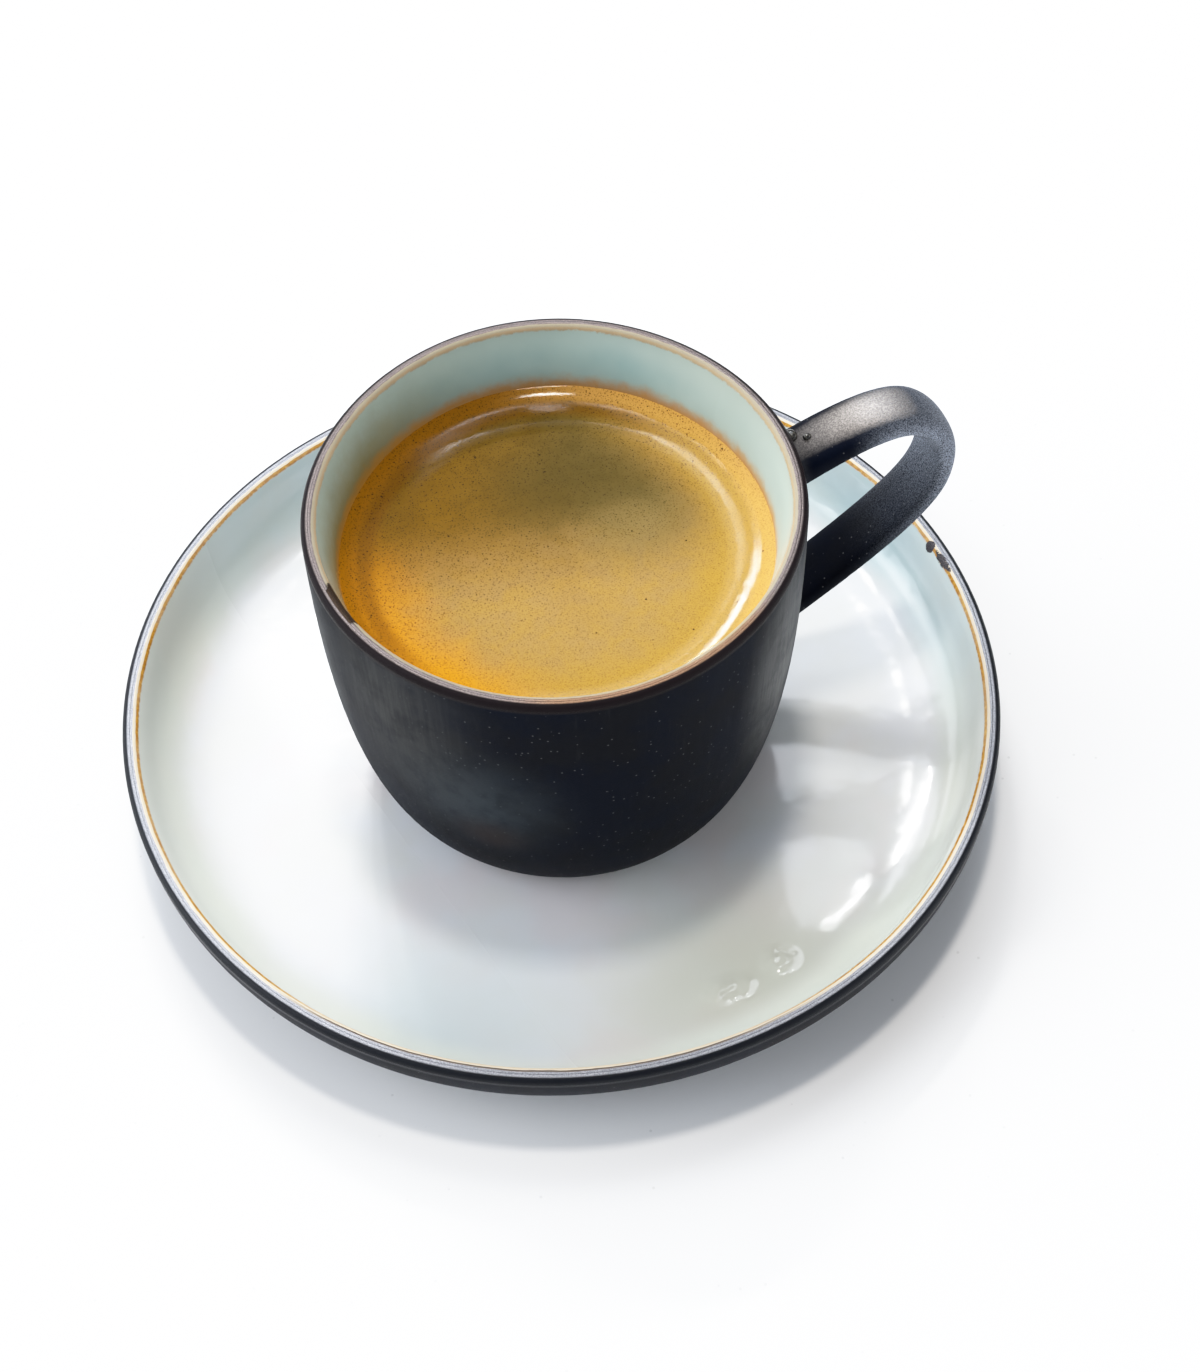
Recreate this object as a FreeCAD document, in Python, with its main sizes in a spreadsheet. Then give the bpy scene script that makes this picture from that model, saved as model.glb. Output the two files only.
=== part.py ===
"""An americano in a thrown stoneware cup with a strap handle, on its saucer.

Millimetres, Z up.  The origin is the middle of the saucer's foot, where it
stands on the table, and the handle points along +X.

Both vessels are thrown, so they are nearly round and not quite: every ring
of a vessel carries the same slow lobes (`lobes`).  Walls are lofts through
rings whose radii follow a few named sizes, the handle is a strap swept along
a pulled curve, and the drink is the cup's own hollow cut at its levels.
"""
import FreeCAD, Part
import os
from math import cos, sin, radians, pi

import Sketcher
from FreeCAD import Vector

os.makedirs("parts", exist_ok=True)
doc = FreeCAD.newDocument("Americano")

# --------------------------------------------------------------- sizes (mm)
SIZES = [
    ("Saucer", None, None),
    ("saucer_rim_radius", 78.0, "middle to the outside of the lip"),
    ("saucer_height", 18.0, "table to the top of the lip"),
    ("saucer_floor_level", 5.5, "table to the floor the cup stands on"),
    ("saucer_floor_radius", 52.0, "flat part of the floor"),
    ("saucer_base_radius", 54.0, "flat underside, before it turns up"),
    ("saucer_base_level", 2.0, "table to the underside"),
    ("saucer_lip", 2.5, "thickness of the lip"),
    ("saucer_wall", 4.2, "thickness half way up the wall, level"),
    ("saucer_foot_radius", 43.0, "outside of the foot ring"),
    ("saucer_foot_width", 4.5, "width of the foot ring"),
    ("saucer_turn", 2.4, "how sharply the outside turns up, 2 is an ellipse"),
    ("saucer_well_turn", 3.2, "how sharply the inside turns up"),
    ("Lobes of the saucer, as shares of the radius, and where they point", None, None),
    ("saucer_oval", 0.0071, "two lobes"),
    ("saucer_oval_at", 142.0, "degrees"),
    ("saucer_three", 0.0017, "three lobes"),
    ("saucer_three_at", 71.0, "degrees"),
    ("saucer_four", 0.0029, "four lobes"),
    ("saucer_four_at", 161.0, "degrees"),
    ("Cup", None, None),
    ("cup_rim_radius", 41.4, "axis to the outside of the lip"),
    ("cup_height", 61.8, "foot to lip"),
    ("cup_foot_radius", 29.0, "where the outside starts at the foot"),
    ("cup_turn", 2.36, "roundness of the outside, 2 is an ellipse"),
    ("cup_lip", 2.4, "thickness of the lip"),
    ("cup_wall", 5.0, "thickness of the wall below the shoulder"),
    ("cup_shoulder", 14.0, "depth over which the lip thickens to the wall"),
    ("cup_floor", 6.0, "thickness of the bottom"),
    ("cup_well_radius", 24.0, "flat part of the bottom inside"),
    ("cup_well_turn", 2.6, "roundness of the inside"),
    ("cup_recess_radius", 24.5, "hollow turned under the foot"),
    ("cup_recess_depth", 1.4, "its depth"),
    ("cup_aside", 0.9, "the cup stands this far off the saucer's middle"),
    ("Lobes of the cup", None, None),
    ("cup_oval", 0.0123, "two lobes"),
    ("cup_oval_at", 136.0, "degrees"),
    ("cup_three", 0.0031, "three lobes"),
    ("cup_three_at", 242.0, "degrees"),
    ("cup_four", 0.0049, "four lobes"),
    ("cup_four_at", 330.0, "degrees"),
    ("Rolled and wiped edges", None, None),
    ("lip_round", 1.0, "radius rolled on both edges of each lip"),
    ("foot_round", 0.9, "radius wiped on the edges of each foot"),
    ("Handle, heights above the foot, reaches beyond the wall", None, None),
    ("handle_width", 10.1, "strap across"),
    ("handle_thickness", 4.2, "strap through"),
    ("handle_root_width", 10.6, "strap across where it leaves the lip"),
    ("handle_root_thickness", 4.8, "strap through where it leaves the lip"),
    ("handle_tail_width", 10.4, "strap across where it joins the belly"),
    ("handle_below_lip", 8.8, "from the lip down to where it leaves the wall"),
    ("handle_tail", 15.4, "where it comes back to the wall"),
    ("handle_rise", 8.4, "how far the curve climbs above its root"),
    ("handle_reach", 29.6, "how far the curve reaches out"),
    ("Drink", None, None),
    ("crema_below_lip", 13.2, "lip down to the top of the crema"),
    ("crema_depth", 2.4, "thickness of the crema"),
]
sheet = doc.addObject("Spreadsheet::Sheet", "Sizes")
for row, (name, value, note) in enumerate(SIZES, 1):
    sheet.set(f"A{row}", name)
    if value is None:
        continue
    sheet.set(f"B{row}", str(value))
    sheet.set(f"C{row}", note)
    sheet.setAlias(f"B{row}", name)
doc.recompute()


def S(text):
    """A formula in which {name} stands for a size."""
    out = text
    for name, value, _ in SIZES:
        if value is not None:
            out = out.replace("{" + name + "}", "Sizes." + name)
    return out


# ------------------------------------------------------------- ring sketches
POLES = 16
# A closed cubic spline runs inside its poles; this brings it back out.
SWELL = 3.0 / (2.0 + cos(2 * pi / POLES))


def xy_plane(body):
    return [f for f in body.Origin.OriginFeatures if f.Role == "XY_Plane"][0]


def xz_plane(body):
    return [f for f in body.Origin.OriginFeatures if f.Role == "XZ_Plane"][0]


def closed_spline(sketch, points, formulas):
    """A closed spline whose poles are held by one formula for each way."""
    poles = [Vector(x, y, 0) for x, y in points]
    for p in poles:
        sketch.addGeometry(Part.Circle(p, Vector(0, 0, 1), 1.0), True)
    curve = sketch.addGeometry(
        Part.BSplineCurve(poles, None, None, True, 3, None, False), False)
    rules = [Sketcher.Constraint("Weight", 0, 1.0)]
    rules += [Sketcher.Constraint("Equal", 0, k) for k in range(1, len(poles))]
    rules += [Sketcher.Constraint("InternalAlignment:Sketcher::BSplineControlPoint",
                                  k, 3, curve, k) for k in range(len(poles))]
    sketch.addConstraint(rules)
    for k, ((x, y), (fx, fy)) in enumerate(zip(points, formulas)):
        for kind, value, formula in (("DistanceX", x, fx), ("DistanceY", y, fy)):
            i = sketch.addConstraint(Sketcher.Constraint(kind, -1, 1, k, 3, value))
            sketch.setExpression(f"Constraints[{i}]", formula)


def lobes(vessel, degrees):
    """How far a vessel is out of round at an angle, as a formula."""
    waves = [f"{{{vessel}_{lobe}}} * cos({count * degrees}deg - {{{vessel}_{lobe}_at}} * 1deg)"
             for count, lobe in ((2, "oval"), (3, "three"), (4, "four"))]
    return S("(1 + " + " + ".join(waves) + ")")


def ring(body, name, vessel, radius, level, aside="0"):
    """One nearly round ring of a vessel: formulas for radius, level, shift."""
    sketch = body.newObject("Sketcher::SketchObject", name)
    sketch.AttachmentSupport = [(xy_plane(body), "")]
    sketch.MapMode = "FlatFace"
    sketch.setExpression("AttachmentOffset.Base.z", S(f"({level}) * 1mm"))
    points, formulas = [], []
    for k in range(POLES):
        a = 360.0 * k / POLES
        points.append((30 * cos(radians(a)), 30 * sin(radians(a))))
        out = f"{SWELL} * ({S(radius)}) * {lobes(vessel, a)}"
        formulas.append((f"({out}) * cos({a}deg) + {S(aside)}",
                         f"({out}) * sin({a}deg)"))
    closed_spline(sketch, points, formulas)
    return sketch


def loft(body, kind, name, rings):
    feature = body.newObject("PartDesign::" + kind, name)
    feature.Profile = rings[0]
    feature.Sections = rings[1:]
    feature.Ruled = False
    feature.Closed = False
    for sketch in rings:
        sketch.Visibility = False
    return feature


def disc(body, name, radii, level, aside="0"):
    """Round outlines about one middle, for turned feet and recesses."""
    sketch = body.newObject("Sketcher::SketchObject", name)
    sketch.AttachmentSupport = [(xy_plane(body), "")]
    sketch.MapMode = "FlatFace"
    sketch.setExpression("AttachmentOffset.Base.z", S(f"({level}) * 1mm"))
    for k, radius in enumerate(radii):
        sketch.addGeometry(Part.Circle(Vector(0, 0, 0), Vector(0, 0, 1), 10.0 + k), False)
        i = sketch.addConstraint(Sketcher.Constraint("Radius", k, 10.0 + k))
        sketch.setExpression(f"Constraints[{i}]", S(radius))
        i = sketch.addConstraint(Sketcher.Constraint("DistanceX", -1, 1, k, 3, 0.0))
        sketch.setExpression(f"Constraints[{i}]", S(aside))
        sketch.addConstraint(Sketcher.Constraint("PointOnObject", k, 3, -1))
    sketch.Visibility = False
    return sketch


def pad(body, kind, name, sketch, length, reversed_=False):
    feature = body.newObject("PartDesign::" + kind, name)
    feature.Profile = sketch
    feature.setExpression("Length", S(f"({length}) * 1mm"))
    feature.Reversed = reversed_
    return feature


def round_rings(body, name, base, level, radius):
    """Rounds every edge that runs all the way round at one level."""
    doc.recompute()
    edges = [f"Edge{i}" for i, e in enumerate(base.Shape.Edges, 1)
             if abs(e.BoundBox.ZMin - level) < 1e-4 and abs(e.BoundBox.ZMax - level) < 1e-4
             and e.Length > 20]
    fillet = body.newObject("PartDesign::Fillet", name)
    fillet.Base = (base, edges)
    fillet.setExpression("Radius", S(f"({radius}) * 1mm"))
    return fillet


def size(name):
    return float(sheet.get(name))


# -------------------------------------------------------------------- saucer
# Both faces of the wall leave the flat floor or underside and turn up in one
# quarter of a rounded curve: at share u of the way down from the lip, the
# curve has come in by 1 - (1 - u^k)^(1/k).
def rounded(u, k):
    return f"(1 - {u} ^ ({k})) ^ (1 / ({k}))"


def steps(count, k, across, down):
    """Shares of the way down, even along the curve, so that a loft stays calm."""
    fine = []
    for j in range(2001):
        u = 1 - (1 - j / 2000) ** 3 if j < 2000 else 1.0
        fine.append((u, across * (1 - u ** k) ** (1 / k), down * (1 - u)))
    length = [0.0]
    for a, b in zip(fine, fine[1:]):
        length.append(length[-1] + ((a[1] - b[1]) ** 2 + (a[2] - b[2]) ** 2) ** 0.5)
    found, j = [], 0
    for n in range(count + 1):
        while length[j] < length[-1] * n / count - 1e-9 and j < 2000:
            j += 1
        found.append(fine[j][0])
    return [1.0] + [round(u, 4) for u in found[1:-1]][::-1] + [0.0]


saucer = doc.addObject("PartDesign::Body", "Saucer")
outside = []
for n, u in enumerate(steps(8, size("saucer_turn"),
                            size("saucer_rim_radius") - size("saucer_base_radius"),
                            size("saucer_height") - size("saucer_base_level"))):
    out = rounded(u, "{saucer_turn}") if 0 < u < 1 else str(1.0 - u)
    outside.append(ring(
        saucer, f"SaucerOut{n}", "saucer",
        f"{{saucer_base_radius}} + ({{saucer_rim_radius}} - {{saucer_base_radius}}) * {out}",
        f"{{saucer_base_level}} + ({{saucer_height}} - {{saucer_base_level}}) * {1 - u}"))
loft(saucer, "AdditiveLoft", "SaucerOutside", outside)

foot = disc(saucer, "SaucerFootRing",
            ["{saucer_foot_radius}", "{saucer_foot_radius} - {saucer_foot_width}"], "0")
pad(saucer, "Pad", "SaucerFoot", foot,
    "{saucer_base_level} + ({saucer_floor_level} - {saucer_base_level}) / 2")

# The well's radius at the floor is set, at the lip it is the rim less the
# lip, and half way up it is the outside less the wall.
well = []
well_width = size("saucer_rim_radius") - size("saucer_lip") - size("saucer_floor_radius")
for n, u in enumerate(steps(8, size("saucer_well_turn"), well_width,
                            size("saucer_height") - size("saucer_floor_level"))):
    out = rounded(u, "{saucer_well_turn}") if 0 < u < 1 else str(1.0 - u)
    thick = f"({{saucer_lip}} + ({{saucer_wall}} - {{saucer_lip}}) * {4 * u * (1 - u)})"
    well.append(ring(
        saucer, f"SaucerWell{n}", "saucer",
        f"{{saucer_floor_radius}} + ({{saucer_rim_radius}} - {thick} - {{saucer_floor_radius}}) * {out}",
        f"{{saucer_floor_level}} + ({{saucer_height}} - {{saucer_floor_level}}) * {1 - u}"))
well_cut = loft(saucer, "SubtractiveLoft", "SaucerWell", well)
saucer_lip = round_rings(saucer, "SaucerLip", well_cut, size("saucer_height"),
                         "min({lip_round}; {saucer_lip} * 0.45)")
saucer.Tip = round_rings(saucer, "SaucerFootEdges", saucer_lip, 0.0,
                         "min({foot_round}; {saucer_base_level} * 0.8; {saucer_foot_width} * 0.4)")

# ----------------------------------------------------------------------- cup
SHOULDER_STEPS = (0.0, 0.5, 1.0)


def cup_outside(share_down):
    """Radius of the cup's outside at a share of its height down from the lip."""
    return ("({cup_foot_radius} + ({cup_rim_radius} - {cup_foot_radius})"
            f" * {rounded(share_down, '{cup_turn}')})")


def cup_hollow(body, prefix):
    """The rings of the cup's hollow, from lip to bottom."""
    rings = []
    for n, d in enumerate(SHOULDER_STEPS):
        thick = f"({{cup_wall}} - ({{cup_wall}} - {{cup_lip}}) * {(1 - d) ** 2})"
        down = f"({d} * {{cup_shoulder}} / {{cup_height}})"
        around = cup_outside(down) if d else "{cup_rim_radius}"
        rings.append(ring(
            body, f"{prefix}Shoulder{n}", "cup", f"{around} - {thick}",
            f"{{saucer_floor_level}} + {{cup_height}} - {d} * {{cup_shoulder}}",
            "{cup_aside}"))
    start = cup_outside("({cup_shoulder} / {cup_height})") + " - {cup_wall}"
    around = size("cup_rim_radius") - size("cup_wall") - size("cup_well_radius")
    down = size("cup_height") - size("cup_shoulder") - size("cup_floor")
    for n, w in enumerate(steps(7, size("cup_well_turn"), around, down)[-2::-1]):
        out = rounded(w, "{cup_well_turn}") if w < 1 else "0"
        rings.append(ring(
            body, f"{prefix}Well{n}", "cup",
            f"{{cup_well_radius}} + ({start} - {{cup_well_radius}}) * {out}",
            f"{{saucer_floor_level}} + {{cup_floor}} + ({{cup_height}} - {{cup_shoulder}}"
            f" - {{cup_floor}}) * {1 - w}", "{cup_aside}"))
    return rings


cup = doc.addObject("PartDesign::Body", "Cup")
walls = []
for n, u in enumerate(steps(10, size("cup_turn"),
                            size("cup_rim_radius") - size("cup_foot_radius"),
                            size("cup_height"))):
    radius = {1.0: "{cup_foot_radius}", 0.0: "{cup_rim_radius}"}.get(u) or cup_outside(u)
    walls.append(ring(cup, f"CupOut{n}", "cup", radius,
                      f"{{saucer_floor_level}} + {{cup_height}} * {1 - u}",
                      "{cup_aside}"))
loft(cup, "AdditiveLoft", "CupOutside", walls)

# The handle's curve: six poles in the plane through the axis.  It starts and
# ends inside the wall, at the wall's own radius for that height.
def wall_at(height):
    return cup_outside(f"(1 - {height} / {{cup_height}})")


path = cup.newObject("Sketcher::SketchObject", "HandlePath")
path.AttachmentSupport = [(xz_plane(cup), "")]
path.MapMode = "FlatFace"
top, tail = "({cup_height} - {handle_below_lip})", "{handle_tail}"
PATH = [  # distance from the cup's axis, height above the cup's foot
    (wall_at(top) + " - {cup_wall} * 0.6", top),
    (wall_at(top) + " + {handle_reach} * 0.54", top + " + {handle_rise}"),
    (wall_at(top) + " + {handle_reach} * 0.9", top + " + {handle_rise} * 0.43"),
    (wall_at(top) + " + {handle_reach}", top + " - (" + top + " - {handle_tail}) * 0.2"),
    (wall_at(tail) + " + {handle_reach} * 0.92", tail + " + (" + top + " - {handle_tail}) * 0.47"),
    (wall_at(tail) + " - {cup_wall} * 0.4", tail),
]
guess = [(38, 58), (57, 67), (68, 62), (71, 51), (66, 38), (36, 21)]
poles = [Vector(x, z, 0) for x, z in guess]
for p in poles:
    path.addGeometry(Part.Circle(p, Vector(0, 0, 1), 1.0), True)
spine = path.addGeometry(Part.BSplineCurve(
    poles, [4, 1, 1, 4], [0, 1 / 3, 2 / 3, 1], False, 3, None, False), False)
path.addConstraint([Sketcher.Constraint("Weight", 0, 1.0)]
                   + [Sketcher.Constraint("Equal", 0, k) for k in range(1, 6)]
                   + [Sketcher.Constraint("InternalAlignment:Sketcher::BSplineControlPoint",
                                          k, 3, spine, k) for k in range(6)])
for k, ((x, z), (fx, fz)) in enumerate(zip(guess, PATH)):
    i = path.addConstraint(Sketcher.Constraint("DistanceX", -1, 1, k, 3, x))
    path.setExpression(f"Constraints[{i}]", S(fx + " + {cup_aside}"))
    i = path.addConstraint(Sketcher.Constraint("DistanceY", -1, 1, k, 3, z))
    path.setExpression(f"Constraints[{i}]", S(fz + " + {saucer_floor_level}"))
doc.recompute()


def strap(name, at, width, thickness):
    """The strap's section: flat inside with soft corners, domed outside."""
    sketch = cup.newObject("Sketcher::SketchObject", name)
    sketch.AttachmentSupport = [(path, "Edge1")]
    sketch.MapMode = "FrenetNB"     # X points out of the loop, Y along the strap's width
    sketch.MapPathParameter = at
    count, shape = 12, []
    for k in range(count):
        a = 2 * pi * (k + 0.5) / count
        through, across = cos(a), sin(a)
        inner = through < 0
        shape.append(((-1 if inner else 1) * abs(through) ** (0.35 if inner else 0.9),
                      (1 if across > 0 else -1) * abs(across) ** (0.55 if inner else 0.75)))
    # The curve at a knot is a mean of three poles: scale it to measure 1 by 1.
    knots = [[(shape[k - 1][w] + 4 * shape[k][w] + shape[(k + 1) % count][w]) / 6
              for k in range(count)] for w in (0, 1)]
    deep, wide = [(max(v) - min(v)) / 2 for v in knots]
    points = [(2.5 * t / deep, 5.0 * a / wide) for t, a in shape]
    formulas = [(S(f"{thickness} / 2 * {t / deep}"), S(f"{width} / 2 * {a / wide}"))
                for t, a in shape]
    closed_spline(sketch, points, formulas)
    sketch.Visibility = False
    return sketch


sections = [
    strap("StrapRoot", 0.0, "{handle_root_width}", "{handle_root_thickness}"),
    strap("StrapNeck", 0.22, "{handle_width}", "{handle_thickness}"),
    strap("StrapBack", 0.75, "{handle_width}", "{handle_thickness}"),
    strap("StrapTail", 1.0, "{handle_tail_width}", "{handle_thickness}"),
]
path.Visibility = False
handle = cup.newObject("PartDesign::AdditivePipe", "Handle")
handle.Profile = sections[0]
handle.Spine = (path, ["Edge1"])
handle.Mode = "Binormal"
handle.Binormal = Vector(0, 1, 0)
handle.Transformation = "Multisection"
handle.Sections = sections[1:]

recess = disc(cup, "CupRecessOutline", ["{cup_recess_radius}"], "{saucer_floor_level}",
              "{cup_aside}")
pad(cup, "Pocket", "CupRecess", recess, "{cup_recess_depth}", True)
hollow = loft(cup, "SubtractiveLoft", "CupHollow", cup_hollow(cup, "Cup"))
cup_lip = round_rings(cup, "CupLip", hollow, size("saucer_floor_level") + size("cup_height"),
                      "min({lip_round}; {cup_lip} * 0.45)")
cup.Tip = round_rings(cup, "CupFootEdges", cup_lip, size("saucer_floor_level"),
                      "min({foot_round}; {cup_recess_depth} * 0.8;"
                      " ({cup_foot_radius} - {cup_recess_radius}) * 0.4)")


# --------------------------------------------------------------------- drink
def drink(name, low, high):
    """The cup's hollow between two levels; low is None for the bottom."""
    body = doc.addObject("PartDesign::Body", name)
    loft(body, "AdditiveLoft", name + "Hollow", cup_hollow(body, name))
    wide = "{cup_rim_radius} * 1.5"
    above = disc(body, name + "Above", [wide], high, "{cup_aside}")
    pad(body, "Pocket", name + "Surface", above, "{cup_height}", True)
    if low:
        below = disc(body, name + "Below", [wide], low, "{cup_aside}")
        pad(body, "Pocket", name + "Underside", below, "{cup_height}")
    return body


CREMA_TOP = "{saucer_floor_level} + {cup_height} - {crema_below_lip}"
COFFEE_TOP = CREMA_TOP + " - {crema_depth}"
coffee = drink("Coffee", None, COFFEE_TOP)
crema = drink("Crema", COFFEE_TOP, CREMA_TOP)

# -------------------------------------------------------------------- output
doc.recompute()
for obj in doc.Objects:
    if "Invalid" in obj.State or "Error" in obj.State:
        raise RuntimeError(f"{obj.Name} did not compute: {obj.State}")
for node, body in (("saucer", saucer), ("cup", cup), ("coffee", coffee), ("crema", crema)):
    shape = body.Shape
    if not shape.isValid() or len(shape.Solids) != 1:
        raise RuntimeError(f"{node} is not one valid solid")
    shape.exportStep(f"parts/{node}.step")
    box = shape.optimalBoundingBox(False, False)
    print(f"{node}: {len(shape.Faces)} faces, {shape.Volume:.0f} mm3, "
          f"z {box.ZMin:.2f} to {box.ZMax:.2f}, x {box.XMin:.2f} to {box.XMax:.2f}, y {box.YMin:.2f} to {box.YMax:.2f}")
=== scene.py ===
"""Looks of an americano in a stoneware cup on its saucer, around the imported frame.

The cup, the saucer and the coffee are the frame's own nodes with procedural
finishes.  The flat crema is replaced by a modelled surface that climbs the
wall, and two drops of glaze are added where the handle leaves the lip.
Lengths are millimetres, apart from the stage's, which are metres.  The origin
is the middle of the saucer's foot, and the handle points along +X.
"""

from math import cos, pi, radians, sin

import bpy
import numpy as np
from mathutils import Matrix, Vector, noise


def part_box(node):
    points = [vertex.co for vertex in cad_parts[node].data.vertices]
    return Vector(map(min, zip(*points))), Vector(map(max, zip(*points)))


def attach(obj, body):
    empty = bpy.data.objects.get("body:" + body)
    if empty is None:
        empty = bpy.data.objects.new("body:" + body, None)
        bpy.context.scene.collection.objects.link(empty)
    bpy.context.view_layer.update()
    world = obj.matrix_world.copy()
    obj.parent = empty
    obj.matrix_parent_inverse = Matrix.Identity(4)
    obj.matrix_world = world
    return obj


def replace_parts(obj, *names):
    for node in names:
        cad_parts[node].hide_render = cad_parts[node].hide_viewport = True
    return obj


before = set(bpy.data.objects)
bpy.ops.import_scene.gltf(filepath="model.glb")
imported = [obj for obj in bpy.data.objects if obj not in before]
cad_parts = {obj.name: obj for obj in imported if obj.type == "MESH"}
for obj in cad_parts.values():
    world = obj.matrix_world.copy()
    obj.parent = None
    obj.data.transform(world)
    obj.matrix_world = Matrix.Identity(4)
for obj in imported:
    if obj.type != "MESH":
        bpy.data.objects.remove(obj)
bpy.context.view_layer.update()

MM = 0.001
LOBES = (2, 3, 4)  # a thrown ring is out of round by these waves


# ------------------------------------------------------------ what the frame says
def vertices(node):
    """A node's vertices, in millimetres."""
    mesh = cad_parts[node].data
    flat = np.zeros(len(mesh.vertices) * 3)
    mesh.vertices.foreach_get("co", flat)
    return flat.reshape(-1, 3) / MM


def level(node, top=True):
    """The height of a node's top or bottom, in millimetres."""
    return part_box(node)[1 if top else 0].z / MM


class Ring:
    """A nearly round outline: its middle, mean radius and slow lobes."""

    def __init__(self, points):
        self.x, self.y = points[:, :2].mean(axis=0)
        for _ in range(3):  # the middle moves a little with each fit
            dx, dy = points[:, 0] - self.x, points[:, 1] - self.y
            angle = np.arctan2(dy, dx)
            waves = [np.ones_like(angle), np.cos(angle), np.sin(angle)]
            for k in LOBES:
                waves += [np.cos(k * angle), np.sin(k * angle)]
            fit = np.linalg.lstsq(np.stack(waves, 1), np.hypot(dx, dy), rcond=None)[0]
            self.x += fit[1]
            self.y += fit[2]
        self.radius = fit[0]
        self.lobes = [(k, fit[3 + 2 * i] / fit[0], fit[4 + 2 * i] / fit[0])
                      for i, k in enumerate(LOBES)]

    def swell(self, angle):
        """How much further out the ring is at an angle than its mean."""
        return 1 + sum(a * cos(k * angle) + b * sin(k * angle) for k, a, b in self.lobes)

    def point(self, radius, angle):
        """The place at an angle on a ring like this one, with a mean radius."""
        out = radius * self.swell(angle)
        return self.x + out * cos(angle), self.y + out * sin(angle)


def top_ring(node):
    """The outline of a node's highest face."""
    points = vertices(node)
    points = points[points[:, 2] > points[:, 2].max() - 0.01]
    middle = points[:, :2].mean(axis=0)
    away = np.hypot(*(points[:, :2] - middle).T)
    return Ring(points[away > away.max() * 0.8])  # without points inside the face


CREMA = top_ring("crema")       # its edge lies on the cup's inner wall
CUP_LIP = top_ring("cup")       # middle of the lip
SAUCER_LIP = top_ring("saucer")
CREMA_LEVEL = level("crema")
CUP_TOP = level("cup")
CUP_FOOT = level("cup", top=False)
SAUCER_TOP = level("saucer")
SAUCER_FLOOR = CUP_FOOT + 0.2   # the dish rises a little from the cup's foot outwards
CUP_GLAZED_DEPTH = 56.0         # the pale glaze reaches this far below the lip
SAUCER_GLAZED_DEPTH = 13.3


# --------------------------------------------------------------- shader helpers
class Value:
    """A socket of a material, so that its sums read as sums."""

    def __init__(self, shader, socket):
        self.shader, self.socket = shader, socket

    def __add__(self, other):
        return self.shader.math("ADD", self, other)

    def __radd__(self, other):
        return self.shader.math("ADD", other, self)

    def __sub__(self, other):
        return self.shader.math("SUBTRACT", self, other)

    def __rsub__(self, other):
        return self.shader.math("SUBTRACT", other, self)

    def __mul__(self, other):
        return self.shader.math("MULTIPLY", self, other)

    def __rmul__(self, other):
        return self.shader.math("MULTIPLY", other, self)

    def __truediv__(self, other):
        return self.shader.math("DIVIDE", self, other)

    def __neg__(self):
        return self.shader.math("MULTIPLY", self, -1.0)

    def clamp(self):
        """The value, kept between 0 and 1."""
        return self.shader.math("ADD", self, 0.0, clamp=True)

    def rise(self, low, high):
        """0 below low, 1 above high, smooth between; low may be the larger."""
        return self.shader.rise(self, low, high)


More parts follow.
